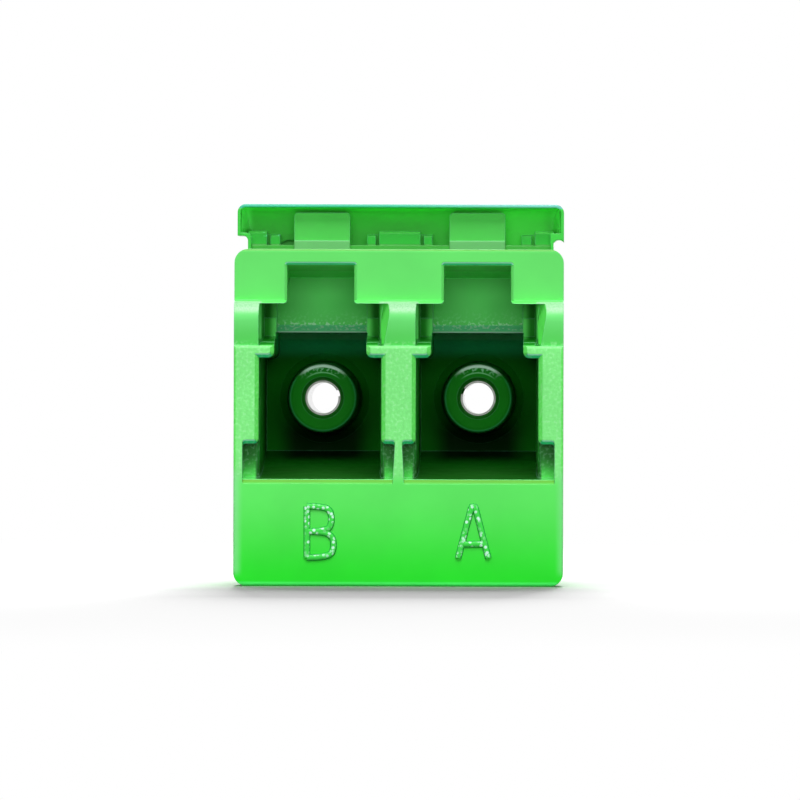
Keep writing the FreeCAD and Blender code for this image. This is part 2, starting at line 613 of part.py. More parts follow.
def lever_ribs():
    """Ribs in the lower part of the hood, one in the middle and one at each end.

    Each rib has a tall core and a lower flank beyond a groove.
    """
    rim = depth(PANEL_BACK)
    front = rim + RIB_SET
    wall = rim + SCOOP_FLAT + SCOOP_RADIUS + ARM_THICK / 2
    neck = FACE_WIDTH / 2 - LEVER_NECK_INSET
    top = FACE_HEIGHT + RIB_RISE

    def block(low, high, level):
        return prism("side", [
            (front, ARM_BOTTOM), (wall, ARM_BOTTOM), (wall, level), (front, level, EDGE_ROUND),
        ], low, high)

    middle = [INNER_SHIFT + x for x in (
        -RIB_MIDDLE / 2, RIB_MIDDLE / 2, -RIB_CORE_MIDDLE / 2, RIB_CORE_MIDDLE / 2,
    )]
    left = (-neck, RIB_SIDE - neck, -neck, RIB_CORE_SIDE - neck)
    right = (neck - RIB_SIDE, neck, neck - RIB_CORE_SIDE, neck)
    ribs = []
    for low, high, core_low, core_high in (middle, left, right):
        rib = block(low, high, top - RIB_STEP).fuse(block(core_low, core_high, top))
        grooves = [core_low - RIB_GROOVE] if core_low > low else []
        grooves += [core_high] if core_high < high else []
        for start in grooves:
            rib = rib.cut(prism("side", [
                (front - OVERCUT, ARM_TOP), (front + RIB_GROOVE_DEPTH, ARM_TOP),
                (front + RIB_GROOVE_DEPTH, top + OVERCUT), (front - OVERCUT, top + OVERCUT),
            ], start, start + RIB_GROOVE))
        ribs.append(rib)
    return ribs


def lever_plate():
    """Arm's front end, which carries the ribs under the hood."""
    rim = depth(PANEL_BACK)
    wall = rim + SCOOP_FLAT + SCOOP_RADIUS
    neck = FACE_WIDTH / 2 - LEVER_NECK_INSET
    return prism("side", [
        (rim + PLATE_SET, ARM_BOTTOM), (wall, ARM_BOTTOM), (wall, ARM_TOP), (rim + PLATE_SET, ARM_TOP),
    ], -neck, neck)


def lever_pocket():
    """Half-round pocket in the hood's back wall, between the left tooth and the left rib."""
    wall = depth(PANEL_BACK) + SCOOP_FLAT + SCOOP_RADIUS
    middle = V(PORT_AXES[0] + POCKET_PLACE[0], wall - POCKET_DEPTH, FACE_HEIGHT + POCKET_PLACE[1])
    tooth = PORT_AXES[0] + INNER_SHIFT - TOOTH_WIDTH / 2
    window = prism("front", [
        (-FACE_WIDTH, ARM_TOP), (tooth, ARM_TOP), (tooth, LEVER_TOP), (-FACE_WIDTH, LEVER_TOP),
    ], wall - POCKET_DEPTH, wall + POCKET_DEPTH)
    return window.common(Part.makeCylinder(POCKET_RADIUS, 2 * POCKET_DEPTH, middle, V(0, 1, 0)))


def arm_windows():
    """Openings that leave the arm as three springy legs, in line with the ribs."""
    start = depth(PANEL_BACK + HOOD_LENGTH)
    inner = RIB_MIDDLE / 2
    outer = FACE_WIDTH / 2 - LEVER_NECK_INSET - RIB_SIDE
    windows = []
    for low, high in ((inner, outer), (-outer, -inner)):
        windows.append(prism("plan", [
            (low, start, EDGE_ROUND), (high, start, EDGE_ROUND),
            (high, -ROOT_LENGTH, EDGE_ROUND), (low, -ROOT_LENGTH, EDGE_ROUND),
        ], DECK + ARM_GAP / 2, LEVER_TOP))
    return windows


def latch_lever():
    """Snap-in lever: three legs, a hollow hood and two catch teeth."""
    shell = lever_shell()
    fillings = [filling.common(shell) for filling in lever_teeth() + lever_ribs() + [lever_plate()]]
    return shell.cut(lever_scoop()).fuse(fillings).cut(arm_windows() + [lever_pocket()])


# ---- The four pieces ------------------------------------------------------------------------

def front_housing():
    """Front moulding: head, front half of the core and keel, latch lever, sleeve holders."""
    groove_top = PANEL_BITE
    joint = -JOINT_BEVEL
    keel_block = keel([
        (depth(HEAD_DEPTH) - EDGE_ROUND, groove_top), (depth(PANEL_BACK), groove_top),
        (depth(PANEL_BACK), 0, EDGE_ROUND), (joint, 0), (0, JOINT_BEVEL), (0, CORE_BOTTOM + FLOOR_WALL / 2),
        (depth(HEAD_DEPTH) - EDGE_ROUND, CORE_BOTTOM + FLOOR_WALL / 2),
    ])
    roof = FACE_HEIGHT - ROOF_STEP
    bridge = LATCH_WALL_DEPTH + ROOF_BRIDGE
    body = head().fuse([core(roof, bridge, HEAD_DEPTH - EDGE_ROUND), keel_block])
    body = body.cut(port_hollows(True))
    body = body.cut(keel_hollows(depth(PANEL_BACK + KEEL_WALL), -PIN_LENGTH - KEEL_WALL))
    body = body.fuse([sleeve_holder(x) for x in PORT_AXES] + [latch_lever()])
    body = body.cut([holder_bore(x) for x in PORT_AXES])
    return body.fuse(joint_pins(PIN_RADIUS, PIN_LENGTH)).removeSplitter()


def rear_housing():
    """Rear moulding, built like the front half and turned to face the back."""
    joint = -JOINT_BEVEL
    tail = -KEEL_RUN - KEEL_SLOPE
    keel_block = keel([
        (-KEEL_RUN, 0), (joint, 0), (0, JOINT_BEVEL), (0, CORE_BOTTOM + FLOOR_WALL / 2),
        (tail, CORE_BOTTOM + FLOOR_WALL / 2), (tail, CORE_BOTTOM),
    ])
    bridge = LATCH_WALL_DEPTH + ROOF_BRIDGE
    body = core(FACE_HEIGHT, bridge, 0).fuse(keel_block)
    body = body.cut(port_hollows(False))
    body = body.fuse([sleeve_holder(x) for x in PORT_AXES])
    body = body.cut([holder_bore(x) for x in PORT_AXES])
    body.rotate(V(0, 0, 0), V(0, 0, 1), 180)
    holes = joint_pins(PIN_RADIUS + PIN_CLEARANCE, PIN_LENGTH + 2 * PIN_CLEARANCE)
    return body.cut(holes).removeSplitter()


def build():
    """Every piece by its node's name."""
    return {
        "front_housing": front_housing(),
        "rear_housing": rear_housing(),
        "split_sleeve_a": split_sleeve(PORT_AXES[1], SLIT_ANGLE_A),
        "split_sleeve_b": split_sleeve(PORT_AXES[0], SLIT_ANGLE_B),
    }


os.makedirs("parts", exist_ok=True)
for node, shape in build().items():
    shape.exportStep(f"parts/{node}.step")
    box = shape.BoundBox
    print(f"{node}: {len(shape.Solids)} solid, valid {shape.isValid()}, {shape.Volume:.2f} mm3, "
          f"x {box.XMin:.2f} to {box.XMax:.2f}, y {box.YMin:.2f} to {box.YMax:.2f}, "
          f"z {box.ZMin:.2f} to {box.ZMax:.2f}")
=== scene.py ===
"""Looks of a duplex fibre adapter: moulded plastic, ceramic sleeves and raised port letters.

Metres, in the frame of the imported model: +Z up, the lettered face looks towards -Y.
"""

import functools
import logging
import math
from dataclasses import dataclass, field
from enum import Enum

import bpy
from mathutils import Matrix, Vector

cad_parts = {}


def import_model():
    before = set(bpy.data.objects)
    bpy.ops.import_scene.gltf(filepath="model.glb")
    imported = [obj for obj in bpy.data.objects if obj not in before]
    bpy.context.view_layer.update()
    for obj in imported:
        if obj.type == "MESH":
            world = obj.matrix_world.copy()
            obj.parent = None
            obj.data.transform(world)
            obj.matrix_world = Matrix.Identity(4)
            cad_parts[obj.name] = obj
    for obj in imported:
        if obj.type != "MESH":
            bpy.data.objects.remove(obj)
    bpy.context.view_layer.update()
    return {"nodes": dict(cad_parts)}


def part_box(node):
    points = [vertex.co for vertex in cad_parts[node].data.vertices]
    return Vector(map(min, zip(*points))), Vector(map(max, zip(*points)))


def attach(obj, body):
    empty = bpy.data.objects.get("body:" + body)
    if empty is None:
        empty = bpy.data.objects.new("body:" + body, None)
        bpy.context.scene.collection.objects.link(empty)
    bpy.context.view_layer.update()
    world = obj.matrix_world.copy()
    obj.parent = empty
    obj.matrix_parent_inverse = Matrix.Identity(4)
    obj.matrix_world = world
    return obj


LOG = logging.getLogger("adapter")
MM = 0.001
FACING_FADE = 0.02

Colour = tuple[float, float, float]
Range = tuple[float, float]
Point = tuple[float, float]
Point3 = tuple[float, float, float]


class Letter(Enum):
    """A raised port letter."""

    A = "a"
    B = "b"


class Board:
    """A node tree that nodes are put on and wired up in."""

    def __init__(self, tree: bpy.types.NodeTree) -> None:
        """Starts from an empty tree.

        Args:
            tree: The node tree to fill. What it holds is cleared.
        """
        self.tree = tree
        tree.nodes.clear()

    def put(self, kind: str, inputs: dict | None = None, **settings: object) -> bpy.types.Node:
        """Adds one node.

        Args:
            kind: The node's type name.
            inputs: A value or an output socket for each input, by its name or number.
            settings: Properties of the node itself.

        Returns:
            The new node.
        """
        node = self.tree.nodes.new(kind)
        for name, value in settings.items():
            setattr(node, name, value)
        for key, value in (inputs or {}).items():
            if isinstance(value, bpy.types.NodeSocket):
                self.tree.links.new(value, node.inputs[key])
            else:
                node.inputs[key].default_value = value
        return node

    def maths(self, operation: str, *values: object) -> bpy.types.NodeSocket:
        """Adds a Math node of that operation and returns its output."""
        return self.put("ShaderNodeMath", dict(enumerate(values)), operation=operation).outputs[0]

    def ramp(self, value: object, low: float, high: float, start: float = 0.0,
             end: float = 1.0) -> bpy.types.NodeSocket:
        """Smooth step of a value.

        Args:
            value: The socket to read.
            low: Where the step starts.
            high: Where it ends.
            start: Result at low.
            end: Result at high.

        Returns:
            The stepped value's socket.
        """
        return self.put("ShaderNodeMapRange", {
            "Value": value, "From Min": low, "From Max": high, "To Min": start, "To Max": end,
        }, interpolation_type="SMOOTHSTEP").outputs["Result"]

    def mix(self, factor: object, first: object, second: object) -> bpy.types.NodeSocket:
        """Blends two colours.

        Args:
            factor: Share of the second, as a number or a socket.
            first: The first colour or its socket.
            second: The second colour or its socket.

        Returns:
            The blended colour's socket.
        """
        given = [
            value if isinstance(value, bpy.types.NodeSocket) else (*value, 1.0)
            for value in (first, second)
        ]
        # the node's sockets share their names between data types, and these are the colour ones
        inputs = {0: factor, 6: given[0], 7: given[1]}
        return self.put("ShaderNodeMix", inputs, data_type="RGBA").outputs[2]

    def split(self, vector: bpy.types.NodeSocket) -> bpy.types.bpy_prop_collection:
        """Adds a Separate XYZ node for a vector and returns its outputs."""
        return self.put("ShaderNodeSeparateXYZ", {0: vector}).outputs

    def place(self) -> bpy.types.NodeSocket:
        """The point on the piece, in metres in the model's frame."""
        return self.put("ShaderNodeTexCoord").outputs["Object"]

    def facing(self) -> bpy.types.NodeSocket:
        """The direction that the surface itself looks in."""
        return self.put("ShaderNodeNewGeometry").outputs["Normal"]

    def seen(self) -> bpy.types.NodeSocket:
        """Tells what the camera sees, straight or in a gloss or through glass, from what lights.

        Returns:
            The socket of a mask that is 1 for what is seen.
        """
        path = self.put("ShaderNodeLightPath").outputs
        shown = self.maths("MAXIMUM", path["Is Camera Ray"], path["Is Glossy Ray"])
        return self.maths("MAXIMUM", shown, path["Is Transmission Ray"])


@dataclass(frozen=True)
class Span:
    """Range of one measure in metres, with a soft start and a soft end."""

    low: float = -1.0
    high: float = 1.0
    rise: float = 0.1 * MM
    fall: float = 0.1 * MM

    def mask(self, board: Board, value: bpy.types.NodeSocket) -> bpy.types.NodeSocket:
        """Mask that is 1 inside the range.

        Args:
            board: The tree to build in.
            value: The measure's socket.

        Returns:
            The mask's socket.
        """
        started = board.ramp(value, self.low, self.low + self.rise)
        ended = board.ramp(value, self.high - self.fall, self.high, 1.0, 0.0)
        return board.maths("MULTIPLY", started, ended)


class Facing(Enum):
    """Which way the surfaces of a zone look, as ranges of their normal's three parts."""

    ANY = ()
    FRONTWARD = ((None, None), (0.12, 2.0), (None, None))
    DOWN_BEVEL = ((None, None), (0.3, 0.95), (-0.95, -0.25))
    UP_BEVEL = ((None, None), (0.3, 0.95), (0.25, 0.95))
    SIDE_BEVEL = ((0.2, 0.98), (0.15, 0.98), (-0.5, 0.5))


@dataclass(frozen=True)
class Tone:
    """A colour of painted light or shade that one zone of the moulding takes.

    The zone is given by the distance across from the nearer fibre axis, the depth behind
    the end face, the height over the base, the distance from the fibre axis and the side
    of the middle plane.
    """

    colour: Colour
    amount: float = 1.0
    across: Span = Span()
    depth: Span = Span()
    height: Span = Span()
    radius: Span = Span()
    side: Span = Span()
    facing: Facing = Facing.ANY
    streaked: bool = False
    speckled: bool = False
    over_edges: bool = False
    dullness: float = 0.0


@dataclass(frozen=True)
class Places:
    """Measures of a point on the moulding, as sockets."""

    point: bpy.types.NodeSocket
    across: bpy.types.NodeSocket
    depth: bpy.types.NodeSocket
    height: bpy.types.NodeSocket
    radius: bpy.types.NodeSocket
    side: bpy.types.NodeSocket
    normal: tuple[bpy.types.NodeSocket, ...]

    def zone(self, board: Board, tone: Tone) -> bpy.types.NodeSocket:
        """Joins the masks of a tone's spans and of the way that its surfaces look.

        Args:
            board: The tree to build in.
            tone: The tone.

        Returns:
            The socket of its zone's mask.
        """
        given = (
            (tone.across, self.across), (tone.depth, self.depth), (tone.height, self.height),
            (tone.radius, self.radius), (tone.side, self.side),
        )
        masks = [span.mask(board, value) for span, value in given if span != Span()]
        for value, (low, high) in zip(self.normal, tone.facing.value):
            if low is not None:
                masks.append(Span(low, high, FACING_FADE, FACING_FADE).mask(board, value))
        return functools.reduce(lambda first, second: board.maths("MULTIPLY", first, second), masks)


@dataclass(frozen=True)
class Finish:
    """A material that is built from nodes."""

    name: str

    def material(self) -> bpy.types.Material:
        """Builds the finish.

        Returns:
            The new material.
        """
        made = bpy.data.materials.new(self.name)
        made.use_nodes = True
        board = Board(made.node_tree)
        shader = self.shader(board)
        board.put("ShaderNodeOutputMaterial", {"Surface": shader.outputs[0]})
        return made

    def shader(self, board: Board) -> bpy.types.Node:
        """Adds the finish's own nodes.

        Args:
            board: The tree to build in.

        Returns:
            The node that gives the surface.
        """
        raise NotImplementedError


@dataclass(frozen=True)
class MouldedPlastic(Finish):
    """Glossy dyed plastic, spark-eroded on the posts and smooth elsewhere, with painted light and
    shade.

    Heights are in metres over the base. An onset holds the values of a pattern between which
    it sets in.
    """

    # painted sheen: the colour turns from a more saturated one at the base to this one at a given
    # height
    colour: Colour
    base_colour_under_painted_sheen: Colour
    # painted highlight on the edges
    painted_edge_highlight_colour: Colour
    tones: tuple[Tone, ...]
    painted_sheen_height: float
    sparked_from: float
    sparked_to: float
    fibre_axis: float = 3.125 * MM
    axis_height: float = 7.5 * MM
    end_face: float = 13.0 * MM
    roughness: float = 0.36
    specular: float = 0.3
    edge_round: float = 0.07 * MM
    painted_edge_highlight_amount: float = 0.5
    edge_highlight_onset: Range = (0.72, 0.98)
    grain: float = 0.09 * MM
    grain_depth: float = 0.012 * MM
    streak_width: float = 0.05 * MM
    streak_length: float = 1.0 * MM
    streak_onset: Range = (0.36, 0.62)
    streak_relief: float = 0.6
    speck_size: float = 0.13 * MM
    speck_onset: Range = (0.50, 0.66)
    # painted glints on the sparked posts
    painted_glint_colour: Colour = (0.70, 0.95, 0.74)
    painted_glint_onset: Range = (0.50, 0.72)
    painted_glint_amount: float = 0.16
    pit_onset: Range = (0.3, 0.55)
    pit_shade: float = 0.06
    sparked_depth: float = 0.3 * MM
    sparked_dullness: float = 0.06
    cloud_scale: float = 0.35 / MM
    cloud_onset: Range = (0.3, 0.7)
    cloud_value: Range = (0.96, 1.04)
    patch_scale: float = 1.1 / MM
    patch_onset: Range = (0.35, 0.65)
    patch_roughness: Range = (-0.04, 0.05)
    ripple_scale: float = 0.8 / MM
    ripple_depth: float = 0.02 * MM
    ripple_strength: float = 0.12

    def shader(self, board: Board) -> bpy.types.Node:
        """Adds the plastic's nodes.

        Args:
            board: The tree to build in.

        Returns:
            Its shader.
        """
        places = self._places(board)
        sparked = board.maths(
            "MULTIPLY", Span(self.sparked_from, self.sparked_to).mask(board, places.height),
            Span(high=self.sparked_depth).mask(board, places.depth),
        )
        edges = board.put("ShaderNodeBevel", {"Radius": self.edge_round}, samples=6).outputs[0]
        streaks = self._streaks(board, places)
        return board.put("ShaderNodeBsdfPrincipled", {
            "Base Color": self._colour_with_painted_light(board, places, edges, streaks, sparked),
            "Roughness": self._roughness(board, places, sparked),
            "Normal": self._surface(board, places, sparked, edges, streaks),
            "Specular IOR Level": self.specular,
        })

    def _places(self, board: Board) -> Places:
        """Works out where a point lies from its fibre axis, its end face and the base.

        Args:
            board: The tree to build in.

        Returns:
            The point's measures.
        """
        point = board.place()
        parts = board.split(point)
        beside = board.maths("SUBTRACT", board.maths("ABSOLUTE", parts["X"]), self.fibre_axis)
        across = board.maths("ABSOLUTE", beside)
        depth = board.maths("SUBTRACT", self.end_face, board.maths("ABSOLUTE", parts["Y"]))
        above = board.maths("SUBTRACT", parts["Z"], self.axis_height)
        squares = board.maths("MULTIPLY_ADD", across, across, board.maths("MULTIPLY", above, above))
        facing = board.split(board.facing())
        normal = (
            board.maths("ABSOLUTE", facing["X"]), board.maths("ABSOLUTE", facing["Y"]), facing["Z"],
        )
        radius = board.maths("SQRT", squares)
        return Places(point, across, depth, parts["Z"], radius, parts["X"], normal)

    def _streaks(self, board: Board, places: Places) -> bpy.types.NodeSocket:
        """Draws the fine upright marks of the posts.

        Args:
            board: The tree to build in.
            places: The point's measures.

        Returns:
            The pattern's socket.
        """
        stretched = board.put("ShaderNodeMapping", {
            "Vector": places.point,
            "Scale": (1 / self.streak_width, 1 / self.streak_width, 1 / self.streak_length),
        })
        return board.put("ShaderNodeTexNoise", {
            "Vector": stretched.outputs[0], "Scale": 1.0, "Detail": 2.0, "Roughness": 0.6,
        }).outputs[0]

    def _colour_with_painted_light(self, board: Board, places: Places, edges: bpy.types.NodeSocket,
             streaks: bpy.types.NodeSocket,
             sparked: bpy.types.NodeSocket) -> bpy.types.NodeSocket:
        """Paints sheen up from the base, light and shade by zone, edge highlights, glints and faint
        cloudiness.

        Args:
            board: The tree to build in.
            places: The point's measures.
            edges: The normal with softened edges.
            streaks: The pattern of upright marks.
            sparked: The mask of the sparked walls.

        Returns:
            The base colour's socket.
        """
        # painted sheen, paler up from the base
        painted_sheen = board.ramp(places.height, 0.0, self.painted_sheen_height)
        body = board.mix(painted_sheen, self.base_colour_under_painted_sheen, self.colour)
        specks = board.put("ShaderNodeTexNoise", {
            "Vector": places.point, "Scale": 1 / self.speck_size, "Detail": 1.0,
        }).outputs[0]
        patterns = (streaks, specks)
        body = self._toned(board, places, patterns, body, False)
        # painted highlight on the edges
        body = board.mix(self._edge_highlight_mask(board, edges), body, self.painted_edge_highlight_colour)
        body = self._toned(board, places, patterns, body, True)
        # painted glints on the sparked posts
        painted_glints = board.ramp(specks, *self.painted_glint_onset, end=self.painted_glint_amount)
        body = board.mix(board.maths("MULTIPLY", painted_glints, sparked), body, self.painted_glint_colour)
        clouds = board.put("ShaderNodeTexNoise", {
            "Vector": places.point, "Scale": self.cloud_scale, "Detail": 3.0,
        })
        value = board.ramp(clouds.outputs[0], *self.cloud_onset, *self.cloud_value)
        pits = board.ramp(specks, *self.pit_onset, -self.pit_shade, 0.0)
        grain = board.maths("MULTIPLY", pits, sparked)
        return board.put("ShaderNodeHueSaturation", {
            "Color": body, "Value": board.maths("ADD", value, grain),
        }).outputs[0]

    def _toned(self, board: Board, places: Places, patterns: tuple[bpy.types.NodeSocket, ...],
               body: bpy.types.NodeSocket, over_edges: bool) -> bpy.types.NodeSocket:
        """Lays on a colour the tones of painted light and shade that go under or over the painted
        edge highlight.

        Args:
            board: The tree to build in.
            places: The point's measures.
            patterns: The upright marks and the specks.
            body: The colour to start from.
            over_edges: Whether to lay the tones that go over the painted edge highlight, or the
                others.

        Returns:
            The toned colour's socket.
        """
        for tone in self.tones:
            if tone.over_edges is not over_edges:
                continue
            mask = board.maths("MULTIPLY", places.zone(board, tone), tone.amount)
            if tone.streaked:
                mask = board.maths("MULTIPLY", mask, board.ramp(patterns[0], *self.streak_onset))
            if tone.speckled:
                mask = board.maths("MULTIPLY", mask, board.ramp(patterns[1], *self.speck_onset))
            body = board.mix(mask, body, tone.colour)
        return body

    def _edge_highlight_mask(self, board: Board, edges: bpy.types.NodeSocket) -> bpy.types.NodeSocket:
        """Finds the edges for the painted highlight, where the softened normal leaves the face's
        own.

        Args:
            board: The tree to build in.
            edges: The normal with softened edges.

        Returns:
            The mask's socket.
        """
        along = board.put(
            "ShaderNodeVectorMath", {0: edges, 1: board.facing()}, operation="DOT_PRODUCT",
        )
        return board.ramp(along.outputs["Value"], *self.edge_highlight_onset, self.painted_edge_highlight_amount, 0.0)

    def _roughness(self, board: Board, places: Places,
                   sparked: bpy.types.NodeSocket) -> bpy.types.NodeSocket:
        """Makes the smooth walls uneven, and the sparked and the dulled ones rougher.

        Args:
            board: The tree to build in.
            places: The point's measures.
            sparked: The mask of the sparked walls.

        Returns:
            The roughness's socket.
        """
        patches = board.put("ShaderNodeTexNoise", {
            "Vector": places.point, "Scale": self.patch_scale, "Detail": 4.0,
        })
        low, high = (self.roughness + change for change in self.patch_roughness)
        uneven = board.ramp(patches.outputs[0], *self.patch_onset, low, high)
        dulled = board.maths("MULTIPLY", sparked, self.sparked_dullness)
        value = board.maths("ADD", uneven, dulled)
        for tone in self.tones:
            if tone.dullness:
                value = board.maths("MULTIPLY_ADD", places.zone(board, tone), tone.dullness, value)
        return value

    def _surface(self, board: Board, places: Places, sparked: bpy.types.NodeSocket,
                 edges: bpy.types.NodeSocket,
                 streaks: bpy.types.NodeSocket) -> bpy.types.NodeSocket:
        """Adds spark craters on the posts and a faint ripple elsewhere to the softened edges.

        Args:
            board: The tree to build in.
            places: The point's measures.
            sparked: The mask of the sparked walls.
            edges: The normal with softened edges.
            streaks: The pattern of upright marks.

        Returns:
            The normal's socket.
        """
        ripple = board.put("ShaderNodeTexNoise", {
            "Vector": places.point, "Scale": self.ripple_scale, "Detail": 2.0,
        })
        calm = board.put("ShaderNodeBump", {
            "Strength": self.ripple_strength, "Distance": self.ripple_depth,
            "Height": ripple.outputs[0], "Normal": edges,
        })
        craters = board.put("ShaderNodeTexNoise", {
            "Vector": places.point, "Scale": 1 / self.grain, "Detail": 2.0, "Roughness": 0.6,
        })
        marks = board.maths("MULTIPLY", streaks, self.streak_relief)
        relief = board.maths("ADD", craters.outputs[0], marks)
        return board.put("ShaderNodeBump", {
            "Strength": sparked, "Distance": self.grain_depth,
            "Height": relief, "Normal": calm.outputs[0],
        }).outputs[0]


@dataclass(frozen=True)
class LetterGloss(Finish):
    """Shiny plastic of the raised letters: painted shade on the flanks, and painted glint dots in
    patches on the crest.
    """

    name: str = "letter_green"
    colour: Colour = (0.055, 0.70, 0.075)
    painted_shade_flank_colour: Colour = (0.006, 0.30, 0.045)
    painted_glint_dot_colour: Colour = (0.62, 1.0, 0.80)
    dot_gap: float = 0.19 * MM
    dot_size: float = 0.42
    dot_core: float = 0.5
    patch_scale: float = 2.5 / MM
    glint_patch_onset: Range = (0.42, 0.58)
    glint_patch_least: float = 0.15
    crest_onset: Range = (0.62, 0.95)
    roughness: float = 0.4
    specular: float = 0.2

    def shader(self, board: Board) -> bpy.types.Node:
        """Adds the letters' nodes.

        Args:
            board: The tree to build in.

        Returns:
            Their shader.
        """
        parts = board.split(board.place())
        upright = board.put("ShaderNodeCombineXYZ", {"X": parts["X"], "Y": parts["Z"]}).outputs[0]
        # painted glints: bright dots in patches on the crest
        cells = board.put("ShaderNodeTexVoronoi", {
            "Vector": upright, "Scale": 1 / self.dot_gap, "Randomness": 0.75,
        }, voronoi_dimensions="2D").outputs["Distance"]
        dots = board.ramp(cells, self.dot_size * self.dot_core, self.dot_size, 1.0, 0.0)
        patches = board.put("ShaderNodeTexNoise", {
            "Vector": upright, "Scale": self.patch_scale, "Detail": 1.0,
        })
        glint_patches = board.ramp(patches.outputs[0], *self.glint_patch_onset, self.glint_patch_least)
        painted_dot_glints = board.maths("MULTIPLY", dots, glint_patches)
        # painted shade on the flanks, by the way the surface faces
        facing = board.split(board.facing())
        crest = board.ramp(board.maths("ABSOLUTE", facing["Y"]), *self.crest_onset)
        body = board.mix(crest, self.painted_shade_flank_colour, self.colour)
        return board.put("ShaderNodeBsdfPrincipled", {
            "Base Color": board.mix(board.maths("MULTIPLY", painted_dot_glints, crest), body, self.painted_glint_dot_colour),
            "Roughness": self.roughness, "Specular IOR Level": self.specular,
        })


@dataclass(frozen=True)
class Zirconia(Finish):
    """Ground white ceramic of the split sleeves."""

    name: str = "sleeve_zirconia"
    colour: Colour = (0.86, 0.85, 0.83)
    roughness: float = 0.07
    ior: float = 2.1
    grinding: float = 0.03 * MM
    grinding_depth: float = 0.001 * MM
    ring_scale: float = 2.0 / MM
    ring_onset: Range = (0.3, 0.7)
    shade: float = 0.93

    def shader(self, board: Board) -> bpy.types.Node:
        """Adds the ceramic's nodes.

        Args:
            board: The tree to build in.

        Returns:
            Its shader.
        """
        along = board.put("ShaderNodeMapping", {
            "Vector": board.place(),
            "Scale": (self.ring_scale, 1 / self.grinding, self.ring_scale),
        })
        rings = board.put("ShaderNodeTexNoise", {
            "Vector": along.outputs[0], "Scale": 1.0, "Detail": 2.0,
        }).outputs[0]
        ground = board.put("ShaderNodeBump", {
            "Strength": 0.1, "Distance": self.grinding_depth, "Height": rings,
        })
        shaded = tuple(self.shade * part for part in self.colour)
        return board.put("ShaderNodeBsdfPrincipled", {
            "Base Color": board.mix(board.ramp(rings, *self.ring_onset), self.colour, shaded),
            "Roughness": self.roughness, "IOR": self.ior, "Normal": ground.outputs[0],
        })


@dataclass
class Stroke:
    """One line of a raised letter, in letter widths across and letter heights up."""

    points: list[Point]
    rounded: bool = False


